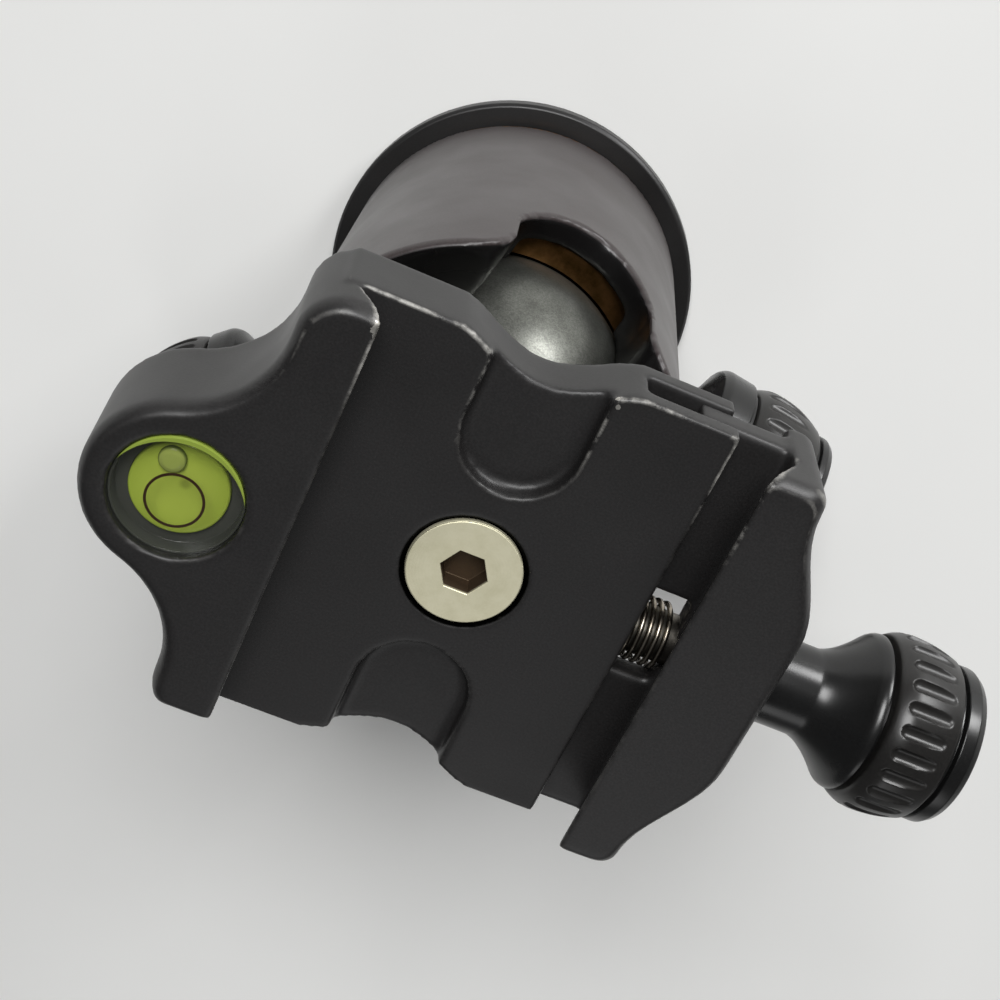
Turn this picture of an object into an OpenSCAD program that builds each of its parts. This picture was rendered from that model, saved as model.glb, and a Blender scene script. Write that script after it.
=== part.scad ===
// Tripod ball head with a panning base, drop notch and a dovetail quick-release clamp.
// Frame: origin at the centre of the base's underside, on the axis of its 3/8 inch thread.
// +Z is the panning axis, pointing up. -Y is the side with the drop notch.
// The stem is posed a few degrees off the panning axis. Millimetres throughout.

/* [Base] */
// Diameter of the base disc
base_d = 46.7; // [44:0.1:52]
// Thickness of the base disc
base_h = 2.9; // [2:0.1:5]
// Height of the dark neck between the disc and the housing
base_neck_h = 1.9; // [1:0.1:3]
// Thickness of the bronze thrust ring inside that neck
bearing_h = 0.6; // [0.4:0.1:0.9]
// Diameter of the fixed spindle that the housing turns on
spindle_d = 21; // [16:0.5:24]
// Pilot diameter of the 3/8-16 thread for the tripod's stud
thread_d = 7.94; // [7.8:0.01:8.2]
// Length of the threaded insert
thread_len = 9; // [7:0.5:9.5]

/* [Housing] */
// Outer diameter of the housing
body_d = 42.2; // [40:0.1:50]
// Height of the housing, from its lower edge to the mouth
body_h = 55.4; // [54:0.1:60]
// Bore of the housing
bore_d = 36; // [34:0.1:37]
// Width of the flat lip round the mouth
lip_w = 0.8; // [0.5:0.1:2]
// Chamfer on the housing's outer edges
edge_c = 0.6; // [0.2:0.1:1]
// Width of the drop notch
notch_w = 16.3; // [13:0.1:18]
// Height of the notch's round bottom above the base, at its centre
notch_h = 51.1; // [50:0.1:54]
// Radius of the notch's corners at the lip
notch_corner = 4; // [2:0.1:5]

/* [Ball and stem] */
// Diameter of the ball
ball_d = 31; // [28:0.1:31.4]
// Height of the ball's centre above the base
ball_h = 45.5; // [44:0.1:47]
// Angle of the upper seat's edge from the panning axis
throat_a = 56; // [50:1:60]
// Diameter of the stem's neck
neck_d = 10; // [8:0.5:11]
// Diameter of the flange under the clamp
flange_d = 20; // [16:0.5:22]
// Distance from the ball's centre to the clamp's platform
platform_h = 36.2; // [35:0.1:42]
// Lean of the stem towards the notch (negative leans away)
stem_back = -3.6; // [-6:0.1:6]
// Lean of the stem to the side
stem_side = -5; // [-6:0.1:6]
// Turn of the clamp about the stem
clamp_spin = 191; // [0:1:359]

/* [Ball seat and lock] */
// Height of the bronze seat ring
seat_h = 4.4; // [3:0.1:6]
// Depth of the seat ring's top below the ball's centre
seat_drop = 3.1; // [2.6:0.1:4]
// Height of the pressure piston's disc
piston_h = 10.2; // [8:0.1:11]
// Diameter of the hub under the piston
hub_d = 14; // [12:0.5:18]
// Direction of the ball lock's axis about Z
lock_az = 184.2; // [170:0.1:200]
// Height of the ball lock's axis
lock_h = 22.4; // [22:0.1:23]
// Diameter of the wedge plunger
plunger_d = 8; // [7:0.1:8.5]
// Length of the plunger's tapered nose
nose_len = 5; // [4:0.5:7]
// Diameter of the ball lock's threaded stud
lock_stud_d = 6; // [5:0.1:6.5]

/* [Pan lock] */
// Direction of the pan lock's axis about Z
pan_az = 54; // [40:1:70]
// Height of the pan lock's axis
pan_h = 12.6; // [12:0.1:12.8]
// Diameter of the pan lock's threaded stud
pan_stud_d = 5; // [4:0.1:5.4]
// Depth of the spindle's brake groove
groove_depth = 1.2; // [0.8:0.1:1.6]

/* [Clamp] */
// Length of the clamp along its jaws
clamp_len = 44.3; // [42:0.1:52]
// Thickness of the clamp base at its ends
clamp_t = 7.5; // [7.3:0.1:9]
// Thickness of the clamp base over the stem
clamp_mid_t = 9.6; // [9.4:0.1:11]
// Distance from the stem's axis to the fixed jaw's root
fixed_root = 18.6; // [17:0.1:20]
// Distance from the stem's axis to the platform's free edge
plat_edge = 16.45; // [15.5:0.05:17]
// Height of the jaws above the platform
jaw_h = 4.8; // [4:0.1:6]
// Height of the dovetail's sloped faces
dove_h = 4.4; // [3.5:0.1:5]
// How far the jaws' lips reach over the plate
lip_over = 2.75; // [2:0.05:3.5]
// Half width of the finger scallops
scallop_w = 5.4; // [4:0.1:6.5]
// Offset of the scallops from the stem's axis
scallop_x = -0.45; // [-1:0.05:1]
// Distance from the stem's axis to the scallops' inner end
scallop_in = 8.7; // [8:0.1:12]
// Depth of the scallops' floor
scallop_t = 1.6; // [1:0.1:1.9]
// Depth of the curved cut in the end faces
scoop = 3; // [2:0.1:4]
// Half width of that cut
scoop_w = 8.3; // [7:0.1:10]
// Distance from the platform's top to the tongue slot
slot_roof = 2.25; // [2:0.05:2.6]
// Height of the tongue slot
slot_h = 3.1; // [2.8:0.1:3.3]
// Distance from the stem's axis to the slot's closed end
slot_in = 7.85; // [7.5:0.05:8.5]

/* [Moving jaw] */
// How far the jaw stands open, from touching the platform's edge
jaw_open = 5.25; // [4:0.05:5.5]
// Depth of the jaw, from its root to its outer face in the middle
jaw_mid = 7.75; // [6:0.05:9]
// Depth of the jaw at its ends
jaw_end = 3.1; // [2.5:0.05:5]
// Half length of the jaw's thick middle
jaw_flat = 7.5; // [5:0.1:9]
// Half length at which the jaw has thinned to its ends
jaw_taper = 20; // [16:0.1:21]
// Half width of the window for the spring
window_w = 4.7; // [4.4:0.1:6]
// Offset of the jaw stud's axis along the jaw
stud_y = -1.5; // [-2:0.1:0]
// Distance from the platform's top to the jaw stud's axis
stud_drop = 4.9; // [4.9:0.05:5.1]
// Diameter of the jaw stud
jaw_stud_d = 5; // [4:0.1:5]
// Wire diameter of the jaw spring
spring_wire = 0.55; // [0.5:0.05:0.6]
// Mean diameter of the jaw spring
spring_d = 6.1; // [6:0.05:6.2]
// Curls of the jaw spring
spring_n = 12; // [8:1:12]

/* [Bubble level] */
// Diameter of the vial's pocket
level_d = 12; // [10:0.1:13]
// Distance from the stem's axis to the vial's centre
level_x = 26.05; // [25:0.05:28]
// Offset of the vial along the jaw
level_y = -0.7; // [-2:0.1:2]
// Depth of the vial's pocket
level_depth = 4.6; // [4:0.1:6]
// Radius of the lobe round the vial
lobe_r = 8.7; // [8:0.1:10]
// Radius of the curve from the lobe into the fixed jaw
lobe_fillet = 10; // [7:0.1:11]

/* [Clamp screw] */
// Diameter of the screw's flat head
head_d = 10.7; // [9:0.1:11.5]
// Diameter of the screw's shank
shank_d = 5; // [4:0.1:5]
// Width of the hexagon socket across its flats
hex_w = 4; // [3:0.1:5]

/* [Knobs] */
// Largest diameter of the ball lock's grip
lock_grip_d = 21.4; // [20:0.1:23]
// Largest diameter of the two small grips
small_grip_d = 17.7; // [15:0.1:18.5]
// Length of the ball lock's neck from the housing to its ring
lock_neck_l = 4.9; // [4:0.1:7]
// Length of the ball lock's ring and groove
lock_ring_l = 4.7; // [4:0.1:6]
// Length of the ball lock's grip
lock_grip_l = 9.1; // [8:0.1:11]
// Length of the pan lock's neck from the housing to its ring
pan_neck_l = 12.4; // [11:0.1:14]
// Length of the pan lock's ring and groove
pan_ring_l = 3.9; // [3:0.1:5]
// Length of the pan lock's grip
pan_grip_l = 8.6; // [7:0.1:10]
// Length of the clamp knob's neck from the jaw to its ring
jaw_neck_l = 10.4; // [9:0.1:12]
// Length of the clamp knob's ring and groove
jaw_ring_l = 1.6; // [1.5:0.1:3]
// Length of the clamp knob's grip
jaw_grip_l = 6.9; // [6:0.1:9]
// Length of the knobs' end caps
cap_l = 2.8; // [2.4:0.1:3.4]
// Flutes round each grip
flutes = 24; // [16:1:28]
// Depth of the flutes
flute_depth = 0.5; // [0.3:0.05:0.7]

/* [Clearances] */
// Running clearance on the radius of turning and sliding fits
run = 0.08; // [0.05:0.01:0.1]
// Clearance between the ball and its seats
ball_gap = 0.3; // [0.2:0.05:0.4]
// Clearance between faces that pass each other
face_gap = 0.3; // [0.2:0.05:0.4]
// Clearance of fixed pieces in their seats
seat = 0.05; // [0.02:0.01:0.1]

/* [Hidden] */
$fn = 72;
body_z = base_h + base_neck_h;
mouth_z = body_z + body_h;
body_r = body_d / 2;
bore_r = bore_d / 2;
ball_r = ball_d / 2;
cup_r = ball_r + ball_gap;
spindle_r = spindle_d / 2;
plug_h = pan_h + 3 - body_z;
spindle_top = body_z + plug_h + 0.2;
retainer_h = 1.9;
lock_bush_r = lock_stud_d / 2 + 1.6;
pan_bush_r = pan_stud_d / 2 + 1.3;
seat_top = ball_h - seat_drop;
piston_top = seat_top - seat_h - 0.1;
hub_low = lock_h - 2.5;
end_y = clamp_len / 2;
jaw_root = plat_edge + jaw_open;
tongue_gap = 0.15;
nose_in = slot_in + jaw_open + 0.1;
window_end = jaw_root - 0.8;
window_y = stud_y + window_w - 3.7;
tip_h = jaw_h - dove_h;
knob_neck_r = jaw_stud_d / 2 + 1.86;
// [neck start, neck radius, ring start, ring radius, grip start, grip length, grip radius,
//  grip end ratio, cap length, flare length]
lock_k = [body_r + 0.9, 6, body_r + lock_neck_l, lock_grip_d * 0.474,
    body_r + lock_neck_l + lock_ring_l, lock_grip_l, lock_grip_d / 2, 0.87, cap_l - 0.2, 2];
pan_k = [body_r + 0.7, pan_stud_d / 2 + 2.1, body_r + pan_neck_l, small_grip_d * 0.44,
    body_r + pan_neck_l + pan_ring_l, pan_grip_l, small_grip_d * 0.465, 0.88, cap_l, 2];
jaw_face = jaw_root + jaw_mid;
jaw_k = [jaw_face + 0.3, knob_neck_r, jaw_face + jaw_neck_l, small_grip_d * 0.443,
    jaw_face + jaw_neck_l + jaw_ring_l, jaw_grip_l, small_grip_d / 2, 0.93, cap_l + 0.3,
    jaw_neck_l * 4.6 / 10.4];

black = [0.09, 0.09, 0.095];
satin = [0.13, 0.13, 0.135];
bronze = [0.55, 0.36, 0.16];
steel = [0.72, 0.70, 0.66];

function arc(c, r, a0, a1, n) =
    [for (i = [0:n]) let(a = a0 + (a1 - a0) * i / n) [c[0] + r * cos(a), c[1] + r * sin(a)]];
function mirror_y(p, y) = [for (i = [len(p) - 1:-1:0]) [p[i][0], 2 * y - p[i][1]]];
function ease(u) = u <= 0 ? 0 : u >= 1 ? 1 : u * u * (3 - 2 * u);

// Frames: the stem's own axis, the clamp's platform, and a radial axis out of the housing
module stem_frame()
    translate([0, 0, ball_h]) rotate([stem_back, 0, 0]) rotate([0, stem_side, 0])
        rotate([0, 0, clamp_spin]) children();
module clamp_frame() stem_frame() translate([0, 0, platform_h]) children();
module radial(az, h) translate([0, 0, h]) rotate([0, 0, az]) rotate([0, 90, 0]) children();
module jaw_axis() clamp_frame() jaw_line() children();
module jaw_line() translate([0, stud_y, -stud_drop]) rotate([0, 90, 0]) children();
module tube(r1, r0, h, z = 0)
    translate([0, 0, z]) difference() {
        cylinder(r = r1, h = h);
        translate([0, 0, -1]) cylinder(r = r0, h = h + 2);
    }

// ---- Base ----
module base_plate() color(black) difference() {
    rotate_extrude() polygon([[0, 0], [base_d / 2 - 0.5, 0], [base_d / 2, 0.5],
        [base_d / 2, base_h - 0.4], [base_d / 2 - 0.4, base_h], [body_r - 1.6, base_h],
        [body_r - 1.6, body_z - bearing_h - 0.1], [spindle_r, body_z - bearing_h - 0.1],
        [spindle_r, pan_h - 1.8], [spindle_r - groove_depth, pan_h - 0.6],
        [spindle_r - groove_depth, pan_h + 0.6], [spindle_r, pan_h + 1.8],
        [spindle_r, spindle_top], [0, spindle_top]]);
    translate([0, 0, -1]) cylinder(d = thread_d + 4.2 + 2 * seat, h = thread_len + 1.05);
    screw_ring() translate([0, 0, spindle_top - 3.2]) cylinder(r = 1.05, h = 4);
}
module thread_insert() color(steel)
    tube(thread_d / 2 + 2.1, thread_d / 2, thread_len);
module screw_ring() for (a = [90, 210, 330]) rotate([0, 0, a])
    translate([(spindle_r + thread_d / 2) / 2 + 0.6, 0, 0]) children();
module pan_bearing() color(bronze)
    tube(body_r - 0.3, spindle_r + 0.2, bearing_h - 0.05, body_z - bearing_h - 0.075);
module pan_retainer() color(steel) difference() {
    translate([0, 0, spindle_top + 0.02]) cylinder(r = spindle_r + 2.6, h = retainer_h);
    screw_ring() {
        translate([0, 0, spindle_top - 1]) cylinder(r = 1.1, h = 4);
        translate([0, 0, spindle_top + 0.02 + retainer_h - 0.95])
            cylinder(r1 = 1.1, r2 = 2.05, h = 0.96);
    }
}
module retainer_screws() color(steel) screw_ring()
    translate([0, 0, spindle_top + 0.02 + retainer_h - 4.6]) rotate_extrude()
        polygon([[0, 0], [1, 0], [1, 3.65], [1.95, 4.58], [0, 4.58]]);

// ---- Housing ----
module housing() color(black) difference() {
    translate([0, 0, body_z]) rotate_extrude() polygon([[0, 0], [body_r - edge_c, 0],
        [body_r, edge_c], [body_r, body_h - 0.4], [body_r - 0.4, body_h], [0, body_h]]);
    translate([0, 0, body_z - 1]) cylinder(r = bore_r, h = ball_h + 1.6 - body_z);
    translate([0, 0, ball_h]) sphere(r = cup_r, $fn = 96);
    throat_cone();
    notch_cut();
    radial(lock_az, lock_h) cylinder(r = lock_bush_r + seat, h = body_r + 5);
    radial(pan_az, pan_h) cylinder(r = pan_bush_r + seat, h = body_r + 5);
}
// Wide funnel from the upper seat's edge out to the lip
module throat_cone() {
    throat_r = cup_r * sin(throat_a);
    throat_z = ball_h + cup_r * cos(throat_a);
    rise = mouth_z - throat_z;
    grow = (body_r - lip_w - throat_r) / rise;
    translate([0, 0, throat_z - 0.2])
        cylinder(r1 = throat_r - 0.2 * grow, r2 = throat_r + (rise + 1) * grow, h = rise + 1.2);
}
// Round-bottomed notch that the neck drops into
module notch_cut() {
    translate([0, 0, notch_h]) rotate([90, 0, 0]) cylinder(d = notch_w, h = body_r + 5);
    translate([-notch_w / 2, -body_r - 5, notch_h]) cube([notch_w, body_r + 5, body_h]);
    c = notch_corner;
    for (s = [0, 1]) mirror([s, 0, 0]) translate([notch_w / 2, 0, mouth_z - c]) difference() {
        translate([-1, -body_r - 5, 0]) cube([c + 1, body_r + 5, c + 1]);
        translate([c, 1, 0]) rotate([90, 0, 0]) cylinder(r = c, h = body_r + 7);
    }
}
module housing_plug() color(satin) difference() {
    translate([0, 0, body_z + 0.02]) cylinder(r = bore_r - seat, h = plug_h);
    translate([0, 0, body_z - 1]) cylinder(r = spindle_r + run, h = plug_h + 3);
    radial(pan_az, pan_h) cylinder(d = pan_stud_d + 0.6, h = body_r);
    radial(pan_az, pan_h) translate([0, 0, spindle_r + 3.55])
        cylinder(r = pan_bush_r + seat, h = body_r);
}
module lock_bush() color(bronze) radial(lock_az, lock_h)
    tube(lock_bush_r, lock_stud_d / 2 + run, body_r - bore_r + 2, bore_r - 2.4);
module pan_bush() color(bronze) radial(pan_az, pan_h)
    tube(pan_bush_r, pan_stud_d / 2 + run, body_r - spindle_r - 4, spindle_r + 3.6);

// ---- Ball lock ----
module lock_plunger() color(steel) radial(lock_az, lock_h) rotate_extrude() polygon([
    [0, 1], [1.2, 1], [plunger_d / 2, 1 + nose_len], [plunger_d / 2, bore_r - 3.4],
    [0, bore_r - 3.4]]);
module pressure_piston() color(satin) difference() {
    union() {
        translate([0, 0, piston_top - piston_h]) cylinder(r = bore_r - run, h = piston_h);
        translate([0, 0, hub_low]) cylinder(d = hub_d, h = piston_top - piston_h + 0.2 - hub_low);
    }
    translate([0, 0, ball_h]) sphere(r = cup_r + 0.2, $fn = 96);
    radial(lock_az, lock_h) rotate_extrude() polygon([
        [0, -hub_d], [1.2 + 0.7, -hub_d], [1.2 + 0.7, 1], [plunger_d / 2 + 0.7, 1 + nose_len],
        [plunger_d / 2 + 0.7, body_d], [0, body_d]]);
}
module ball_seat() color(bronze) difference() {
    translate([0, 0, seat_top - seat_h]) cylinder(r = bore_r - run, h = seat_h);
    translate([0, 0, ball_h]) sphere(r = cup_r, $fn = 96);
}

// ---- Knobs: a turned core, a fluted grip and a domed cap, drawn along +Z ----
function core_curve(k) = [for (i = [0:8]) let(u = i / 8)
    [k[1] + (k[3] - 0.4 - k[1]) * pow(u, 1.6), k[2] - k[9] * (1 - u)]];
module knob_core(k, stud_r, stud_from, bore = 0) {
    hub = k[6] * 0.62;
    rotate_extrude() polygon(concat(
        bore > 0 ? [[bore, k[0]], [k[1] - 0.3, k[0]]]
            : [[0, stud_from], [stud_r, stud_from], [stud_r, k[0]], [k[1] - 0.3, k[0]]],
        [[k[1], k[0] + 0.3]], core_curve(k),
        [[k[3], k[2] + 0.5], [k[3], k[4] - 0.9], [k[3] - 0.7, k[4] - 0.5],
         [k[3] - 0.7, k[4] - 0.05], [hub, k[4] - 0.05], [hub, k[4] + k[5]]],
        bore > 0 ? [[bore, k[4] + k[5]]] : [[0, k[4] + k[5]]]));
}
function grip_r(k, u) = k[6] * (1 - (1 - k[7]) * pow(max(0, u - 0.35) / 0.65, 2)
    - 0.07 * pow(max(0, 0.3 - u) / 0.3, 2));
module knob_grip(k) {
    fr = k[6] * 0.085;
    difference() {
        rotate_extrude() polygon(concat(
            [[k[6] * 0.62 + seat, k[4]], [grip_r(k, 0) - 0.35, k[4]]],
            [for (i = [0:12]) [grip_r(k, i / 12), k[4] + 0.35 + (k[5] - 0.7) * i / 12]],
            [[grip_r(k, 1) - 0.35, k[4] + k[5]], [k[6] * 0.62 + seat, k[4] + k[5]]]));
        for (i = [0:flutes - 1]) rotate([0, 0, 360 * i / flutes])
            translate([k[6] + fr - flute_depth, 0, k[4]]) {
                translate([0, 0, 1.6]) cylinder(r = fr, h = k[5] - 3.2, $fn = 20);
                translate([0, 0, 1.6]) sphere(r = fr, $fn = 20);
                translate([0, 0, k[5] - 1.6]) sphere(r = fr, $fn = 20);
            }
    }
}
module knob_cap(k) {
    z = k[4] + k[5] + 0.02;
    r = k[6] * k[7] - 0.35;
    rotate_extrude() polygon([[0, z], [r - 0.5, z], [r - 0.5, z + 0.35], [r, z + 0.6],
        [r, z + k[8] - 1.3], [r - 0.35, z + k[8] - 0.6], [r - 1.2, z + k[8] - 0.12],
        [r - 2.2, z + k[8]], [0, z + k[8]]]);
}
module lock_core() color(black) radial(lock_az, lock_h)
    knob_core(lock_k, lock_stud_d / 2, bore_r - 3.35);
module lock_grip() color(satin) radial(lock_az, lock_h) knob_grip(lock_k);
module lock_cap() color(black) radial(lock_az, lock_h) knob_cap(lock_k);
module pan_core() color(black) radial(pan_az, pan_h)
    knob_core(pan_k, pan_stud_d / 2, spindle_r + 2.9);
module pan_grip() color(satin) radial(pan_az, pan_h) knob_grip(pan_k);
module pan_cap() color(black) radial(pan_az, pan_h) knob_cap(pan_k);
module pan_shoe() color(bronze) radial(pan_az, pan_h) rotate_extrude() polygon([
    [0, spindle_r - groove_depth + 0.3], [0.45, spindle_r - groove_depth + 0.3],
    [1.6, spindle_r + 0.25], [pan_stud_d / 2 + 0.22, spindle_r + 0.35],
    [pan_stud_d / 2 + 0.22, spindle_r + 2.85], [0, spindle_r + 2.85]]);
module jaw_core() color(black) jaw_axis()
    knob_core(jaw_k, 0, 0, jaw_stud_d / 2 + run);
module jaw_grip() color(satin) jaw_axis() knob_grip(jaw_k);
module jaw_cap() color(black) jaw_axis() knob_cap(jaw_k);

// ---- Ball and stem ----
module ball_stem() color([0.45, 0.46, 0.45]) stem_frame() difference() {
    top = platform_h - clamp_mid_t - 0.05;
    union() {
        sphere(r = ball_r, $fn = 96);
        rotate_extrude() polygon(concat([[0, ball_r - 3], [neck_d / 2 + 0.9, ball_r - 1.6],
            [neck_d / 2, ball_r - 0.2], [neck_d / 2, top - 5.5]],
            [for (i = [1:8]) [neck_d / 2 + (flange_d - neck_d) / 2 * pow(i / 8, 2.1),
                top - 5.5 + 5.1 * i / 8]],
            [[flange_d / 2, top], [4.5, top], [4.5, top + 2], [0, top + 2]]));
    }
    translate([0, 0, platform_h - 18.5]) cylinder(r = shank_d / 2 + run, h = 20);
}

// ---- Clamp base with its fixed jaw and the lobe for the bubble level ----
// Outline of the fixed jaw and lobe, inset by d, as a closed loop of points
function lobe_side(d) = let(
    side = -fixed_root - 3.6 + d,
    f = lobe_fillet + d,
    c = [side - f, level_y + sqrt(pow(lobe_r + lobe_fillet, 2) - pow(c_dx(), 2))],
    a = atan2(c[1] - level_y, c[0] + level_x))
    concat([[-fixed_root + lip_over, end_y - d]],
        arc([side + 4.2 - d, end_y - 4.2], 4.2 - d, 90, 180, 8),
        arc(c, f, 0, a - 180, 12), arc([-level_x, level_y], lobe_r - d, a, 180, 12));
function c_dx() = fixed_root + 3.6 + lobe_fillet - level_x;
function lobe_outline(d) = concat(lobe_side(d),
    [for (p = mirror_y(lobe_side(d), level_y)) [p[0], max(p[1], -end_y + d)]]);
module jaw_block() {
    translate([0, 0, -clamp_t]) linear_extrude(clamp_t + jaw_h - 1.2) polygon(lobe_outline(0));
    translate([0, 0, jaw_h - 1.25]) linear_extrude(0.75) polygon(lobe_outline(0.25));
    translate([0, 0, jaw_h - 0.55]) linear_extrude(0.55) polygon(lobe_outline(0.75));
}
// U-shaped scallop opening at the +Y end, where the end face is scooped in
function scoop_y(x) = end_y + 0.01
    - (scoop + 0.01) * pow(max(0, 0.5 + 0.5 * cos(180 * min(1, abs(x) / scoop_w))), 0.7);
module scallop() {
    translate([scallop_x, scallop_in + scallop_w, -scallop_t])
        cylinder(r = scallop_w, h = scallop_t + 1);
    translate([scallop_x - scallop_w, scallop_in + scallop_w, -scallop_t])
        cube([2 * scallop_w, end_y - scallop_in, scallop_t + 1]);
    translate([2 * scallop_x, 0, -clamp_mid_t - 1]) linear_extrude(clamp_mid_t + 2)
        polygon(concat([[-scoop_w, end_y + 2]],
            [for (i = [0:18]) let(x = scoop_w * (i / 9 - 1)) [x, scoop_y(x)]],
            [[scoop_w, end_y + 2]]));
}
module clamp_base() color(black) clamp_frame() difference() {
    union() {
        translate([-fixed_root - 1, -end_y, -clamp_t])
            cube([fixed_root + 1 + plat_edge, clamp_len, clamp_t]);
        translate([0, 0, -clamp_mid_t]) cylinder(r = flange_d / 2 + 1.2, h = clamp_mid_t - 1);
        translate([0, window_y - window_w - 0.6, -clamp_mid_t])
            cube([plat_edge, 2 * window_w + 1.2, clamp_mid_t - 1]);
        jaw_block();
    }
    // dovetail under the fixed lip, above the platform
    rotate([90, 0, 0]) translate([0, 0, -end_y - 1]) linear_extrude(clamp_len + 2)
        polygon([[-fixed_root, 0], [-fixed_root + lip_over, dove_h],
            [-fixed_root + lip_over, jaw_h + 1], [plat_edge + 1, jaw_h + 1],
            [plat_edge + 1, 0]]);
    scallop();
    rotate([0, 0, 180]) scallop();
    // slot for the jaw's tongue
    translate([slot_in, -end_y - 1, -slot_roof - slot_h]) cube([30, clamp_len + 2, slot_h]);
    // screw seat, spigot seat, stud and spring bores
    translate([0, 0, -3.3]) cylinder(r1 = shank_d / 2 + 0.15, r2 = head_d / 2 + 0.3, h = 2.75);
    translate([0, 0, -0.56]) cylinder(r = head_d / 2 + 0.3, h = 2);
    translate([0, 0, -clamp_mid_t - 1]) cylinder(r = shank_d / 2 + 0.15, h = clamp_mid_t);
    translate([0, 0, -clamp_mid_t - 1]) cylinder(r = 4.5 + run, h = 3.1);
    jaw_line() translate([0, 0, slot_in - 4.4]) cylinder(r = jaw_stud_d / 2 + seat, h = 30);
    jaw_line() translate([0, 0, slot_in]) cylinder(d = spring_d + spring_wire + 0.5, h = 30);
    translate([-level_x, level_y, jaw_h - level_depth]) cylinder(d = level_d, h = 9);
}
module clamp_screw() color(steel) clamp_frame() difference() {
    rotate_extrude() polygon([[0, -17.6], [shank_d / 2, -17.6], [shank_d / 2, -3.1],
        [head_d / 2, -0.6], [head_d / 2, -0.12], [head_d / 2 - 0.12, 0], [0, 0]]);
    translate([0, 0, -2.4]) cylinder(d = hex_w / cos(30), h = 4, $fn = 6);
}
module jaw_stud() color(steel) jaw_axis()
    translate([0, 0, slot_in - 4.3]) cylinder(d = jaw_stud_d, h = jaw_k[4] + 3 - slot_in);

// ---- Bubble level ----
module level_frame() clamp_frame() translate([-level_x, level_y, jaw_h]) children();
module level_cup() color([0.2, 0.2, 0.2]) level_frame() rotate_extrude() polygon([
    [0, -level_depth + 0.02], [level_d / 2 - seat, -level_depth + 0.02],
    [level_d / 2 - seat, -0.9], [level_d / 2 - 0.65, -0.9],
    [level_d / 2 - 0.65, -level_depth + 0.8], [0, -level_depth + 0.8]]);
module level_liquid() color([0.62, 0.72, 0.2]) level_frame() difference() {
    translate([0, 0, -level_depth + 0.82])
        cylinder(d = level_d - 1.4, h = level_depth - 0.82 - 0.9);
    level_bubble_shape(0.02);
}
module level_bubble_shape(d) translate([-1.5, 3.2, -0.9]) rotate_extrude() polygon([
    [0, 0.1], [1.15 + d, 0.1], [1.25 + d, -0.2], [1 + d, -0.5], [0.5, -0.7 - d], [0, -0.7 - d]]);
module level_bubble() color([0.8, 0.85, 0.6]) level_frame() intersection() {
    level_bubble_shape(0);
    translate([-level_d, -level_d, -level_depth]) cube([2 * level_d, 2 * level_d,
        level_depth - 0.92]);
}
module level_lens() color([0.7, 0.75, 0.6]) level_frame() rotate_extrude() polygon(concat(
    [[0, -0.88], [level_d / 2 - seat, -0.88], [level_d / 2 - seat, -0.15]],
    [for (i = [1:8]) [(level_d / 2 - 0.2) * (1 - i / 8), 0.35 * sin(90 * i / 8)]]));

// ---- Moving jaw ----
// Depth of the jaw outside its root at half length y, inset by d
function jaw_out(y, d) = jaw_root + jaw_mid - d
    - (jaw_mid - jaw_end) * ease((abs(y) - jaw_flat) / (jaw_taper - jaw_flat));
function jaw_outline(x0, d) = concat([[x0, -end_y + d]],
    arc([jaw_out(end_y, d) - 1.6, -end_y + d + 1.6], 1.6, -90, -20, 4),
    [for (i = [1:23]) let(y = (end_y - 1.6) * (i / 12 - 1)) [jaw_out(y, d), y]],
    arc([jaw_out(end_y, d) - 1.6, end_y - d - 1.6], 1.6, 20, 90, 4), [[x0, end_y - d]]);
module moving_jaw() color(black) clamp_frame() difference() {
    union() {
        translate([0, 0, -clamp_t + 0.6]) linear_extrude(clamp_t + jaw_h - 1.7)
            polygon(jaw_outline(jaw_root - lip_over, 0));
        translate([0, 0, jaw_h - 1.15]) linear_extrude(0.65)
            polygon(jaw_outline(jaw_root - lip_over, 0.25));
        translate([0, 0, jaw_h - 0.55]) linear_extrude(0.55)
            polygon(jaw_outline(jaw_root - lip_over, 0.75));
        translate([0, 0, -clamp_t]) linear_extrude(0.65)
            polygon(jaw_outline(jaw_root, 0.5));
    }
    rotate([90, 0, 0]) translate([0, 0, -end_y - 1]) linear_extrude(clamp_len + 2)
        polygon([[0, -20], [jaw_root, -20], [jaw_root, 0], [jaw_root - lip_over, dove_h],
            [0, dove_h]]);
    stud_hole();
}
module stud_hole() jaw_line() cylinder(d = jaw_stud_d + 0.6, h = 60);
module jaw_tongue() color(black) clamp_frame() difference() {
    translate([nose_in, -end_y + 0.3, -slot_roof - slot_h + tongue_gap])
        cube([jaw_root + 1 - nose_in, clamp_len - 0.6, slot_h - 2 * tongue_gap]);
    translate([0, window_y - window_w, -20]) cube([window_end, 2 * window_w, 40]);
    stud_hole();
}

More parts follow.
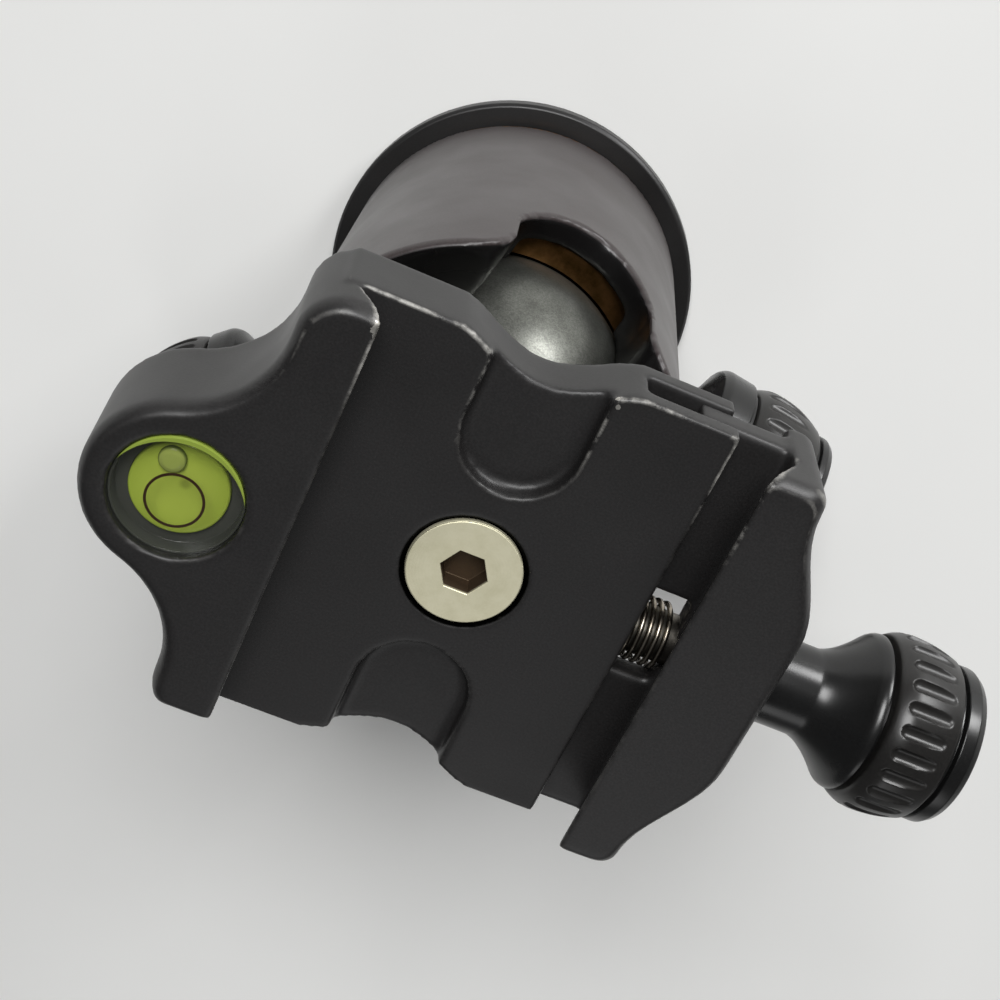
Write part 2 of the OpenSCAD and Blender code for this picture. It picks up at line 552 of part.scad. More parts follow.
// ---- Jaw spring: one wire wound about the stud, ends square to the faces they meet ----
coil_a = slot_in + 0.05;
coil_b = window_end - 0.05;
rings = 8 * spring_n;
coil_pts = concat([[coil_a, 0]], [for (i = [0:rings]) [coil_a + spring_wire
    + (coil_b - coil_a - 2 * spring_wire) * i / rings, 360 * i / 8]], [[coil_b, 360 * spring_n]]);
function coil_xyz(p) = [p[0], spring_d / 2 * cos(p[1]), spring_d / 2 * sin(p[1])];
function unit(v) = v / norm(v);
coil_c = [for (p = coil_pts) coil_xyz(p)];
coil_gap = min([for (i = [0:len(coil_c) - 1], j = [0:len(coil_c) - 1]) if (j >= i + 6)
    norm(coil_c[i] - coil_c[j])]) - spring_wire;
function coil_ring(i) = let(n = len(coil_c) - 1, t = i == 0 || i == n ? [1, 0, 0]
        : unit(coil_c[min(i + 1, n)] - coil_c[max(i - 1, 0)]),
    a = coil_pts[i][1], r = [0, cos(a), sin(a)], nn = unit(r - (r * t) * t), b = cross(t, nn))
    [for (k = [0:5]) coil_c[i] + spring_wire / 2 * (cos(60 * k) * nn + sin(60 * k) * b)];
module jaw_spring() color(steel) clamp_frame() translate([0, stud_y, -stud_drop]) {
    m = len(coil_c);
    echo(str("jaw spring: least gap to itself ", coil_gap, " mm"));
    polyhedron(points = [for (i = [0:m - 1]) each coil_ring(i)],
        faces = concat([[for (k = [0:5]) k]], [[for (k = [5:-1:0]) 6 * (m - 1) + k]],
            [for (i = [0:m - 2], k = [0:5]) [6 * i + k, 6 * i + 6 + k, 6 * i + (k + 1) % 6]],
            [for (i = [0:m - 2], k = [0:5])
                [6 * i + 6 + k, 6 * i + 6 + (k + 1) % 6, 6 * i + (k + 1) % 6]]));
}

base_plate();
thread_insert();
pan_bearing();
pan_retainer();
retainer_screws();
housing();
housing_plug();
lock_bush();
pan_bush();
lock_plunger();
lock_core();
lock_grip();
lock_cap();
pan_shoe();
pan_core();
pan_grip();
pan_cap();
pressure_piston();
ball_seat();
ball_stem();
clamp_base();
clamp_screw();
jaw_stud();
level_cup();
level_liquid();
level_bubble();
level_lens();
union() { moving_jaw(); jaw_tongue(); }
jaw_spring();
jaw_core();
jaw_grip();
jaw_cap();
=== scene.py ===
"""Tripod ball head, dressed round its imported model.

Sizes are in millimetres in the classes below, and only the lamps' are in metres. Three frames are
used: the row frame (panning axis up), the clamp's own frame (its platform at z 0, its stem along
z) and, for each knob, a frame whose z runs outwards along its axis.
"""

import logging
import math
from collections.abc import Callable
from dataclasses import dataclass
from enum import Enum
from functools import partial

import bmesh
import bpy
import numpy as np
from bpy.types import ID, Material, Mesh, Node, NodeTree, Object
from mathutils import Matrix


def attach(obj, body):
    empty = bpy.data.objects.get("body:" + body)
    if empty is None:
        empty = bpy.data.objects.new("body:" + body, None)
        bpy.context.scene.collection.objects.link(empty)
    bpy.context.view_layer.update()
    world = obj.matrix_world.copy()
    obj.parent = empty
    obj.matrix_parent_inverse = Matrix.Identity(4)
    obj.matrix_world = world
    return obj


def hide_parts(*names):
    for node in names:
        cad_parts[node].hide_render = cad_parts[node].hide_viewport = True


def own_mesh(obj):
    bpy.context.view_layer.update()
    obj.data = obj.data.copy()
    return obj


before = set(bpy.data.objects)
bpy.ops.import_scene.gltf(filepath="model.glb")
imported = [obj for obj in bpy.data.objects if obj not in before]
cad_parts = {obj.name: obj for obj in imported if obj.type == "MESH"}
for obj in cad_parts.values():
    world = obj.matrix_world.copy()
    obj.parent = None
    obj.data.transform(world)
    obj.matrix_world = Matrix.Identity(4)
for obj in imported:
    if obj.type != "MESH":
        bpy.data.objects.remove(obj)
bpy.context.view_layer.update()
log = logging.getLogger("ball_head")
MM = 0.001
ROUND = 2 * math.pi
WELD, CAD_WELD = 2e-7, 2e-6
Array = np.ndarray
Point = tuple[float, float, float]


# ---- Frames ----


def turn(axis: int, degrees: float) -> Array:
    """The 3 by 3 matrix of a right-handed turn about x (0), y (1) or z (2)."""
    return np.array(Matrix.Rotation(math.radians(degrees), 3, "XYZ"[axis]))


@dataclass(frozen=True)
class Place:
    """A frame in the row frame: its origin and its axes as columns."""

    origin: Array
    axes: Array

    def point(self, local: Array) -> Array:
        """Points of this frame as points of the row frame."""
        return np.asarray(local, float) @ self.axes.T + self.origin

    def inner(self, origin: Point, axes: Array = np.eye(3)) -> "Place":
        """A frame set inside this one, by its origin and axes here."""
        return Place(self.point(origin), self.axes @ axes)


ROW = Place(np.zeros(3), np.eye(3))


@dataclass(frozen=True)
class Stance:
    """How the head stands in the photograph: the stem's lean and the clamp's turn."""

    ball_height: float = 45.5
    lean_back: float = -3.6
    lean_side: float = -5.0
    clamp_turn: float = 191.0
    platform_height: float = 36.2

    def stem(self) -> Place:
        """The frame of the ball and stem, at the ball's centre."""
        axes = turn(0, self.lean_back) @ turn(1, self.lean_side) @ turn(2, self.clamp_turn)
        return Place(np.array([0.0, 0.0, self.ball_height]), axes)

    def clamp(self) -> Place:
        """The frame of the clamp, at the middle of its platform."""
        return self.stem().inner((0.0, 0.0, self.platform_height))


def radial(azimuth: float, height: float) -> Place:
    """A frame on the panning axis, at a height, whose z runs outwards at an angle in degrees."""
    return Place(np.array([0.0, 0.0, height]), turn(2, azimuth) @ turn(1, 90))


# ---- Finishes ----


def linear(hex_colour: str) -> tuple[float, float, float, float]:
    """An sRGB hex colour as linear RGBA.

    Args:
        hex_colour: such as "#2a2a2a".

    Returns:
        Four numbers from 0 to 1, with an alpha of 1.
    """
    srgb = np.array([int(hex_colour[i:i + 2], 16) for i in (1, 3, 5)]) / 255
    rgb = np.where(srgb <= 0.04045, srgb / 12.92, ((srgb + 0.055) / 1.055) ** 2.4)
    return (*(float(c) for c in rgb), 1.0)


def add_node(tree: NodeTree, kind: str, settings: dict | None = None, **links: object) -> Node:
    """Adds a node to a shader tree.

    A MapRange's inputs 1 to 4 are From Min, From Max, To Min and To Max, and a MixRGB's 1 and 2
    are its colours.

    Args:
        tree: the tree.
        kind: the node's type, without "ShaderNode", and its operation if it has several.
        settings: attributes or unlinked inputs of the node, by name or by number.
        links: inputs and the socket that feeds each, or the node whose first live output does; a
            name's underscore is a blank, and in0 is the first input.

    Returns:
        The node.
    """
    kind, *operation = kind.split()
    node = tree.nodes.new("ShaderNode" + kind)
    if operation:
        node.operation = operation[0]
    for key, value in (settings or {}).items():
        if isinstance(key, str) and hasattr(node, key):
            setattr(node, key, value)
        else:
            node.inputs[key].default_value = value
    for key, source in links.items():
        name = int(key[2:]) if key[:2] == "in" and key[2:].isdigit() else key.replace("_", " ")
        if isinstance(source, Node):
            source = next(socket for socket in source.outputs if socket.enabled)
        tree.links.new(source, node.inputs[name])
    return node


class Recipe:
    """A finish's material while it is put together, with patterns in a frame's millimetres.

    add is add_node for its tree, where and along are the frame's coordinates, together and one by
    one, and reach is the distance from the frame's z axis.
    """

    def __init__(self, name: str, place: Place) -> None:
        """Starts the material.

        Args:
            name: the material's name.
            place: the frame.
        """
        self.material = bpy.data.materials.new(name)
        self.material.use_nodes = True
        self.material.node_tree.nodes.clear()
        self.add = partial(add_node, self.material.node_tree)
        self.where = self.add("Mapping", {
            "vector_type": "TEXTURE", "Location": place.origin * MM,
            "Rotation": Matrix(place.axes.tolist()).to_euler(), "Scale": (MM, MM, MM)},
            Vector=self.add("TexCoord").outputs["Object"])
        self.along = self.add("SeparateXYZ", Vector=self.where).outputs
        flat = self.add("VectorMath MULTIPLY", {1: (1, 1, 0)}, in0=self.where)
        self.reach = self.add("VectorMath LENGTH", in0=flat)

    def relief(self, finish: "Anodised | Metal", distance: Node) -> tuple[Node, Node]:
        """A finish's fine grain and, if it has a ring pitch, turning rings over it.

        The height is grain + share * sin(2 pi * distance / pitch).

        Args:
            finish: the finish, for its sizes.
            distance: what the rings are spaced along.

        Returns:
            The grain and the bent normal.
        """
        grain = self.add("TexNoise", {"Scale": 1 / finish.grain, "Detail": 2.0}, Vector=self.where)
        height = grain
        if finish.ring_pitch:
            wave = self.add("Math MULTIPLY", {1: ROUND / finish.ring_pitch}, in0=distance)
            sine = self.add("Math SINE", in0=wave)
            height = self.add("Math MULTIPLY_ADD", {1: finish.ring_share}, in0=sine, in2=grain)
        depth = finish.relief * MM
        return grain, self.add("Bump", {"Strength": 0.5, "Distance": depth}, Height=height)

    def finish(self, settings: dict, **links: object) -> Material:
        """Ends the material with its shader, whose settings and links are given as for add."""
        self.add("OutputMaterial", Surface=self.add("BsdfPrincipled", settings, **links))
        return self.material


@dataclass(frozen=True)
class Chip:
    """A spot where the finish has chipped to bare metal."""

    centre: Point
    radius: float


@dataclass(frozen=True)
class Zone:
    """A round zone about a finish's z axis, with a soft edge, where it looks different.

    It is painted shade: a darker colour where the surface lies in shade. Marked bare, it is also
    metallic, so that its near-black colour stays black under the lamps.
    """

    radius: float
    edge: float
    colour: str
    roughness: float
    bare: bool = False


@dataclass(frozen=True)
class Anodised:
    """Black anodised aluminium.

    The oxide is a clear dyed layer, so it is dark and not metallic, and its highlights are grey
    and broad. Bead blasting before the bath leaves an even fine grain; a turned piece keeps faint
    rings about its axis instead.

    Attributes:
        grain: size of the blasted grain, twice the real 0.1 mm so that it shows.
        relief: depth of the grain.
        ring_pitch, ring_share: spacing of the turning rings, or 0 for none, drawn at 0.35 mm
            where real ones are about 0.1 mm apart, and their height beside the grain's.
        clouding: how much paler the dye is where it took least.
        place: frame whose z is the turning axis.
        chips, bare: where the edge is worn to the metal, and the metal's colour.
        zone: a round zone of painted shade, where the surface lies in shade, with its own roughness.
        highlight_and_wear_height, highlight_and_wear_colour: height above which the sharp outer
            edges, mostly towards the +Y end, are painted pale in patches, and their colour there: a
            painted highlight along the edges, partly edge wear.
    """

    name: str
    colour: str
    roughness: float
    grain: float = 0.22
    relief: float = 0.006
    ring_pitch: float = 0.0
    ring_share: float = 0.12
    clouding: float = 1.45
    place: Place = ROW
    chips: tuple[Chip, ...] = ()
    bare: str = "#c9c6bf"
    zone: Zone | None = None
    highlight_and_wear_height: float | None = None
    highlight_and_wear_colour: str = "#a3a19c"

    def edges(self, mix: Recipe) -> Node:
        """How far outer edges are painted pale, as a painted highlight on them and partly as edge wear:
        where they are sharp, in patches, high up, towards the +Y end.

        Args:
            mix: the finish's recipe.

        Returns:
            0 where nothing is painted, up to 0.9.
        """
        sharp = mix.add("NewGeometry").outputs["Pointiness"]
        patch = mix.add("TexNoise", {"Scale": 0.3, "Detail": 8.0, "Roughness": 0.7}, Vector=mix.where)
        share = mix.add("MapRange", {1: 0.519, 2: 0.54}, Value=sharp)
        for source, low, high, least, most in (
                (patch, 0.44, 0.6, 0.0, 1.0),
                (mix.along["Z"], self.highlight_and_wear_height - 0.3, self.highlight_and_wear_height + 0.3, 0.0, 1.0),
                (mix.along["Y"], 12.0, 18.0, 0.06, 0.9)):
            part = mix.add("MapRange", {1: low, 2: high, 3: least, 4: most}, Value=source)
            share = mix.add("Math MULTIPLY", in0=share, in1=part)
        return share

    def spots(self, mix: Recipe) -> Node:
        """Where the finish has chipped, in spots with ragged edges.

        Args:
            mix: the finish's recipe.

        Returns:
            1 in the spots and 0 outside them.
        """
        ragged = mix.add("TexNoise", {"Scale": 1.6, "Detail": 4.0}, Vector=mix.where)
        worn = None
        for chip in self.chips:
            r = chip.radius
            gap = mix.add("VectorMath DISTANCE", {1: chip.centre}, in0=mix.where)
            edge = mix.add("Math MULTIPLY_ADD", {1: -2.2 * r}, in0=ragged, in2=gap)
            spot = mix.add("MapRange", {1: -0.12 * r, 2: -0.3 * r}, Value=edge)
            worn = mix.add("Math MAXIMUM", in0=worn, in1=spot) if worn else spot
        return worn

    def build(self) -> Material:
        """Makes the material: dye with slow cloudiness, handled sheen, grain, chips, painted shade in its
        zone, and a painted highlight, partly wear, on its edges.

        Returns:
            The material.
        """
        mix = Recipe(self.name, self.place)
        cloud = mix.add("TexNoise", {"Scale": 0.09, "Detail": 3.0}, Vector=mix.where)
        both = mix.add("Math ADD", in0=mix.reach, in1=mix.along["Z"])
        grain, bump = mix.relief(self, both)
        dark = linear(self.colour)
        pale = (*(c * self.clouding for c in dark[:3]), 1.0)
        dye = mix.add("MixRGB", {1: dark, 2: pale}, Fac=cloud)
        speck = mix.add("MapRange", {1: 0.35, 2: 0.75, 3: 0.8, 4: 1.35}, Value=grain)
        base = mix.add("VectorMath SCALE", in0=dye, Scale=speck)
        rough = mix.add("MapRange", {1: 0.3, 2: 0.7, 3: self.roughness - 0.04,
                                     4: self.roughness + 0.06}, Value=cloud)
        links = {}
        zone = self.zone
        if zone:
            inside = mix.add("MapRange", {1: zone.radius, 2: zone.radius - zone.edge}, Value=mix.reach)
            base = mix.add("MixRGB", {2: linear(zone.colour)}, Fac=inside, Color1=base)
            rough = mix.add("Math MULTIPLY_ADD", {1: zone.roughness - self.roughness}, in0=inside,
                            in2=rough)
        # Sharp upper edges painted pale: a painted highlight along them, partly edge wear.
        if self.highlight_and_wear_height is not None:
            base = mix.add("MixRGB", {2: linear(self.highlight_and_wear_colour)}, Fac=self.edges(mix), Color1=base)
        if self.chips:
            worn = self.spots(mix)
            base = mix.add("MixRGB", {2: linear(self.bare)}, Fac=worn, Color1=base)
            # A bare zone of painted shade is made metallic too, so that it stays black under the lamps.
            if zone and zone.bare:
                worn = mix.add("Math MAXIMUM", in0=worn, in1=inside)
            links["Metallic"] = worn
        return mix.finish({}, Base_Color=base, Roughness=rough, Normal=bump, **links)


@dataclass(frozen=True)
class Metal:
    """A bare metal, turned, ground or sintered.

    Turning leaves rings about the axis that stretch the highlights into a fan; staining is the
    slow darkening of handled or oiled metal.

    Attributes:
        stained: colour where the metal has darkened.
        place: frame whose z is the turning axis.
        ring_pitch, ring_share: spacing of the turning rings, or 0 for none, and their height
            beside the grain's.
        grain, relief: size of the grain, and depth of grain and rings.
        metallic: 1, or less where a clear oxide lies over the metal.
        glint: how far single grains stand out from the colour.
        socket, grease_and_shade: radius and depth inside which grease and painted shade in the
            recess darken the metal, and their colour.
    """

    name: str
    colour: str
    stained: str
    roughness: float
    place: Place = ROW
    ring_pitch: float = 0.0
    ring_share: float = 0.3
    grain: float = 0.5
    relief: float = 0.004
    metallic: float = 1.0
    glint: float = 0.0
    socket: tuple[float, float] | None = None
    grease_and_shade: str = "#5a4b3b"

    def build(self) -> Material:
        """Makes the material: metal, stain, grain, rings and a socket darkened by grease and painted
        shade.

        Returns:
            The material.
        """
        mix = Recipe(self.name, self.place)
        stain = mix.add("TexNoise", {"Scale": 0.45, "Detail": 5.0, "Roughness": 0.6}, Vector=mix.where)
        dark = mix.add("MapRange", {1: 0.38, 2: 0.68}, Value=stain)
        base = mix.add("MixRGB", {1: linear(self.colour), 2: linear(self.stained)}, Fac=dark)
        if self.glint:
            cell = mix.add("TexVoronoi", {"Scale": 1 / self.grain}, Vector=mix.where)
            level = mix.add("SeparateColor", Color=cell.outputs["Color"])
            bright = mix.add("MapRange", {3: 1 - self.glint, 4: 1 + self.glint}, Value=level)
            base = mix.add("VectorMath SCALE", in0=base, Scale=bright)
        # Darker below the surface in the socket: grease, and painted shade in the recess.
        if self.socket:
            radius, depth = self.socket
            inside = mix.add("Math LESS_THAN", {1: radius}, in0=mix.reach)
            below = mix.add("MapRange", {1: -0.08, 2: -depth}, Value=mix.along["Z"])
            greasy_and_shaded = mix.add("Math MULTIPLY", in0=inside, in1=below)
            base = mix.add("MixRGB", {2: linear(self.grease_and_shade)}, Fac=greasy_and_shaded, Color1=base)
        rough = mix.add("MapRange", {3: self.roughness - 0.05, 4: self.roughness + 0.1}, Value=stain)
        _, bump = mix.relief(self, mix.reach)
        return mix.finish({"Metallic": self.metallic}, Base_Color=base, Roughness=rough, Normal=bump)


@dataclass(frozen=True)
class Moulded:
    """Cast or moulded acrylic, ink and level liquid: clear or dyed, glossy, with faint flow.

    Attributes:
        colour, edge_colour: at the middle, and towards the rim, where the dye is seen edge on; on the
            bubble the rim colour is a painted dark outline of refraction, and on the lens a painted
            bright crescent of light.
        place: frame whose z is the piece's axis.
        rim, fade: radius of the rim, and the share of it at which the colour starts to change.
        cover, rim_cover: how much of what is behind is hidden, from 0 to 1, and the same at the
            rim where it differs. Clear pieces take this and not refraction, so that light reaches
            what lies under them.
        spot, spot_colour: centre and colour of a faint dark mark.
        ior: 1.49 for acrylic.
    """

    name: str
    colour: str
    edge_colour: str
    place: Place
    rim: float
    fade: float = 0.55
    roughness: float = 0.05
    cover: float = 1.0
    rim_cover: float | None = None
    spot: Point | None = None
    spot_colour: str = "#3a4216"
    ior: float = 1.49

    def build(self) -> Material:
        """Makes the material: colour from the middle to the rim, flow lines and the mark.

        Returns:
            The material.
        """
        mix = Recipe(self.name, self.place)
        fade = mix.add("MapRange", {1: self.rim * self.fade, 2: self.rim}, Value=mix.reach)
        base = mix.add("MixRGB", {1: linear(self.colour), 2: linear(self.edge_colour)}, Fac=fade)
        if self.spot:
            gap = mix.add("VectorMath DISTANCE", {1: self.spot}, in0=mix.where)
            mark = mix.add("MapRange", {1: 0.7, 2: 0.25, 4: 0.35}, Value=gap)
            base = mix.add("MixRGB", {2: linear(self.spot_colour)}, Fac=mark, Color1=base)
        flow = mix.add("TexNoise", {"Scale": 0.5, "Detail": 1.0}, Vector=mix.where)
        bump = mix.add("Bump", {"Strength": 0.15, "Distance": 0.01 * MM}, Height=flow)
        settings = {"Roughness": self.roughness, "IOR": self.ior, "Alpha": self.cover}
        links = {"Base_Color": base, "Normal": bump}
        if self.rim_cover is not None:
            links["Alpha"] = mix.add("MapRange", {3: self.cover, 4: self.rim_cover}, Value=fade)
        if self.cover < 1:
            settings |= {"Specular IOR Level": 1.0, "Coat Weight": 1.0, "Coat Roughness": self.roughness}
        return mix.finish(settings, **links)


# ---- Meshes ----


def rounded(corners: list[Point], steps: int = 5) -> Array:
    """An open outline whose corners are arcs.

    A corner's arc touches both of its sides at radius / tan(half the angle between them) from the
    corner. A corner that is nearly straight stays as it is.

    Args:
        corners: (radius from the axis, height, corner radius), from one end to the other.
        steps: arc segments for each rounded corner.

    Returns:
        Points (radius from the axis, height), one row each.
    """
    points = np.array([c[:2] for c in corners], float)
    rows = [points[:1]]
    for before, at, after, (_, _, radius) in zip(points, points[1:], points[2:], corners[1:-1]):
        into, out = before - at, after - at
        reach_in, reach_out = np.hypot(*into), np.hypot(*out)
        into, out = into / reach_in, out / reach_out
        half = 0.5 * math.acos(float(np.clip(into @ out, -1, 1)))
        if radius <= 0 or half > math.radians(88):
            rows.append(at[None])
            continue
        cut = min(radius / math.tan(half), 0.49 * reach_in, 0.49 * reach_out)
        radius = cut * math.tan(half)
        bisector = (into + out) / np.hypot(*(into + out))
        centre = at + bisector * radius / math.sin(half)
        start, end = at + into * cut - centre, at + out * cut - centre
        share = np.linspace(0, 1, steps + 1)[:, None]
        sweep = math.pi - 2 * half
        weight = np.sin((1 - share) * sweep) * start + np.sin(share * sweep) * end
        rows.append(centre + weight / math.sin(sweep))
    rows.append(points[-1:])
    return np.vstack(rows)


def into_scene(name: str, data: ID) -> Object:
    """Puts a mesh, a lamp or a camera into the scene, at the origin.

    Args:
        name: the object's name.
        data: what it shows.

    Returns:
        The object.
    """
    obj = bpy.data.objects.new(name, data)
    bpy.context.scene.collection.objects.link(obj)
    return obj


def dress(obj: Object, material: Material, body: str, slot: "Finish", *nodes: str) -> None:
    """Gives a piece its finish and its place in the model.

    Args:
        obj: the piece.
        material: its finish.
        body: the body it rides on.
        slot: the record's slot that its finish belongs to; not used.
        nodes: the CAD nodes that it stands for.
    """
    obj.data.materials.clear()
    obj.data.materials.append(material)
    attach(obj, body)
    if nodes:
        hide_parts(*nodes)
    log.info("%s: %d faces on %s", obj.name, len(obj.data.polygons), body)


def repaint(material: Material, *nodes: str) -> None:
    """Puts a material on every slot of CAD nodes that stay.

    Args:
        material: the material.
        nodes: the nodes' names.
    """
    for node in nodes:
        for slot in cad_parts[node].material_slots:
            slot.material = material
        log.info("%s: kept as modelled", node)


def from_grid(name: str, grid: Array, crisp: float = 35.0) -> Object:
    """A closed skin from a grid of points.

    Neighbouring points are joined into quads, and the last column is joined to the first. The
    end rows draw together into poles or lie on each other, and points that coincide are merged.

    Args:
        name: the piece's name.
        grid: rows by columns by 3, in millimetres in the row frame.
        crisp: angle in degrees past which an edge isn't shaded smooth.

    Returns:
        The object, with its faces outwards.
    """
    rows, columns = grid.shape[:2]
    left = np.arange(rows * columns).reshape(rows, columns)
    right = np.roll(left, -1, axis=1)
    quads = np.stack([left[:-1], right[:-1], right[1:], left[1:]], axis=-1).reshape(-1, 4)
    mesh = bpy.data.meshes.new(name)
    mesh.from_pydata(grid.reshape(-1, 3) * MM, [], quads.tolist())
    work = bmesh.new()
    work.from_mesh(mesh)
    bmesh.ops.remove_doubles(work, verts=work.verts, dist=WELD)
    bmesh.ops.recalc_face_normals(work, faces=work.faces)
    work.to_mesh(mesh)
    work.free()
    mesh.shade_smooth()
    mesh.set_sharp_from_angle(angle=math.radians(crisp))
    return into_scene(name, mesh)


def carried(radius: Array, height: Array, columns: int) -> Array:
    """Rows of points round the z axis: at angle a, row (r, z) gives (r cos a, r sin a, z)."""
    angle = np.linspace(0, ROUND, columns, endpoint=False)
    return np.stack([radius * np.cos(angle), radius * np.sin(angle), height + 0 * angle], axis=-1)


def turned(name: str, outline: Array, place: Place, columns: int = 128) -> Object:
    """A turned piece: an outline carried round a frame's z axis and closed on it or on itself."""
    local = carried(outline[:, :1], outline[:, 1:], columns)
    return from_grid(name, place.point(local))


def merged(node: str) -> Mesh:
    """A copy of a CAD node's mesh with its loose triangles joined.

    Args:
        node: the node.

    Returns:
        The copy.
    """
    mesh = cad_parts[node].data.copy()
    work = bmesh.new()
    work.from_mesh(mesh)
    bmesh.ops.remove_doubles(work, verts=work.verts, dist=CAD_WELD)
    work.to_mesh(mesh)
    work.free()
    return mesh


def move_points(mesh: Mesh, rule: Callable[[Array], Array]) -> None:
    """Moves all points of a mesh.

    Args:
        mesh: the mesh.
        rule: what turns the array of its points, in metres, into the new one.
    """
    points = np.empty(len(mesh.vertices) * 3, np.float32)
    mesh.vertices.foreach_get("co", points)
    points = rule(points.reshape(-1, 3).astype(float))
    mesh.vertices.foreach_set("co", points.astype(np.float32).ravel())
    mesh.update()


def softened(name: str, node: str, place: Place, grid: float, passes: int, kept: float = 1.0) -> Object:
    """A copy of a CAD node with its edges worn round, as blasting and tumbling leave them.

    The copy is rebuilt on an even grid lined up with a frame, and each pass moves every point
    half way to the mean of its neighbours, which rounds an edge over about the grid's size times
    the square root of the number of passes.

    Args:
        name: the piece's name.
        node: the node.
        place: the frame that its flat faces are lined up with.
        grid: the grid's size in millimetres.
        passes: how many times the points are evened out.
        kept: share of the triangles kept afterwards, most of it where the shape bends.

    Returns:
        The object.
    """
    origin, axes = place.origin * MM, place.axes
    rough = merged(node)
    move_points(rough, lambda points: (points - origin) @ axes)
    source = into_scene("rough", rough)
    remesh = source.modifiers.new("grid", "REMESH")
    remesh.mode, remesh.voxel_size, remesh.adaptivity = "VOXEL", grid * MM, 0.0
    even = source.modifiers.new("even", "SMOOTH")
    even.factor, even.iterations = 0.5, passes
    if kept < 1:
        source.modifiers.new("thin", "DECIMATE").ratio = kept
    ready = source.evaluated_get(bpy.context.evaluated_depsgraph_get())
    mesh = bpy.data.meshes.new_from_object(ready)
    bpy.data.objects.remove(source)
    bpy.data.meshes.remove(rough)
    mesh.name = name
    move_points(mesh, lambda points: points @ axes.T + origin)
    mesh.shade_smooth()
    return into_scene(name, mesh)


def bevelled(name: str, node: str, width: float) -> Object:
    """A copy of a turned CAD node with its flat faces joined and its edges broken by a bevel.

    Args:
        name: the piece's name.
        node: the CAD node to copy.
        width: width of the rounded edge in millimetres.

    Returns:
        The object.
    """
    mesh = merged(node)
    mesh.name = name
    flat, sharp = math.radians(0.6), math.radians(30)
    work = bmesh.new()
    work.from_mesh(mesh)
    bmesh.ops.dissolve_limit(work, angle_limit=flat, verts=work.verts, edges=work.edges)
    work.to_mesh(mesh)
    work.free()
    mesh.shade_smooth()
    mesh.set_sharp_from_angle(angle=sharp)
    obj = into_scene(name, mesh)
    bevel = obj.modifiers.new("edges", "BEVEL")
    bevel.width, bevel.segments = width * MM, 3
    bevel.limit_method, bevel.angle_limit = "ANGLE", sharp
    bevel.harden_normals = True
    return obj


class Finish(Enum):
    """Names of the record's material slots, one for each kind of finish."""

    BODY = "black_anodised"
    KNOB = "knob_black"
    GRIP = "knob_grip"
    BALL = "ball_grey"
    STAINLESS = "stainless"
    SPRING = "spring_steel"
    CUP = "vial_cup"
    LIQUID = "vial_liquid"
    BUBBLE = "vial_bubble"
    LENS = "vial_lens"


# ---- Sub-assemblies ----


@dataclass
class Base:
    """The panning base and what holds the housing down on it."""

    edge: float = 0.35
    black: Anodised = Anodised("black anodised aluminium, base", "#121111", 0.4)
    steel: Metal = Metal("turned stainless steel, base", "#b9b4a8", "#8c877c", 0.3, ring_pitch=0.3)
    bronze: Metal = Metal("sintered bronze, thrust ring", "#8a6234", "#4d3115", 0.45, grain=0.3)

    def build(self) -> None:
        """Rounds the base disc's edges and dresses the bush, thrust ring, retainer and screws."""
        dress(bevelled("panning_base", "base_plate", self.edge), self.black.build(), "base",
              Finish.BODY, "base_plate")
        repaint(self.steel.build(), "thread_insert", "pan_retainer", "retainer_screws")
        repaint(self.bronze.build(), "pan_bearing")


@dataclass
class Housing:
    """The turned housing with its notch, and the pieces in its bore."""

    radius: float = 21.1
    slack: float = 0.06
    grid: float = 0.34
    passes: int = 13
    kept: float = 0.45
    # The zone paints the inside of the housing darker, as shade in the bore and notch, and glossier.
    black: Anodised = Anodised("black anodised aluminium, housing", "#2c2626", 0.38,
                               zone=Zone(20.7, 0.2, "#100f0f", 0.24))
    inner: Metal = Metal("machined aluminium, inside", "#b4b4b2", "#85847f", 0.35, ring_pitch=0.35)
    steel: Metal = Metal("ground steel, wedge", "#b0aca2", "#7a766d", 0.3)
    # This bronze is darker than the base's: painted shade for the seat ring deep in the housing.
    bronze: Metal = Metal("sintered bronze, seat ring", "#5b4126", "#33240f", 0.42, grain=0.25,
                          relief=0.01)

    def trued(self, points: Array) -> Array:
        """Makes the outside truly round: points within the slack of the radius move on to it.

        Args:
            points: one row each, in metres.

        Returns:
            The moved points.
        """
        reach = np.hypot(points[:, 0], points[:, 1])
        near = np.abs(reach - self.radius * MM) < self.slack * MM
        points[near, :2] *= (self.radius * MM / reach[near])[:, None]
        return points

    def build(self) -> None:
        """Rounds the housing's lip and notch and dresses what is inside it."""
        shell = softened("housing_shell", "housing", ROW, self.grid, self.passes, self.kept)
        move_points(shell.data, self.trued)
        dress(shell, self.black.build(), "housing", Finish.BODY, "housing")
        repaint(self.inner.build(), "housing_plug", "pressure_piston")
        repaint(self.bronze.build(), "ball_seat", "lock_bush", "pan_bush", "pan_shoe")
        repaint(self.steel.build(), "lock_plunger")


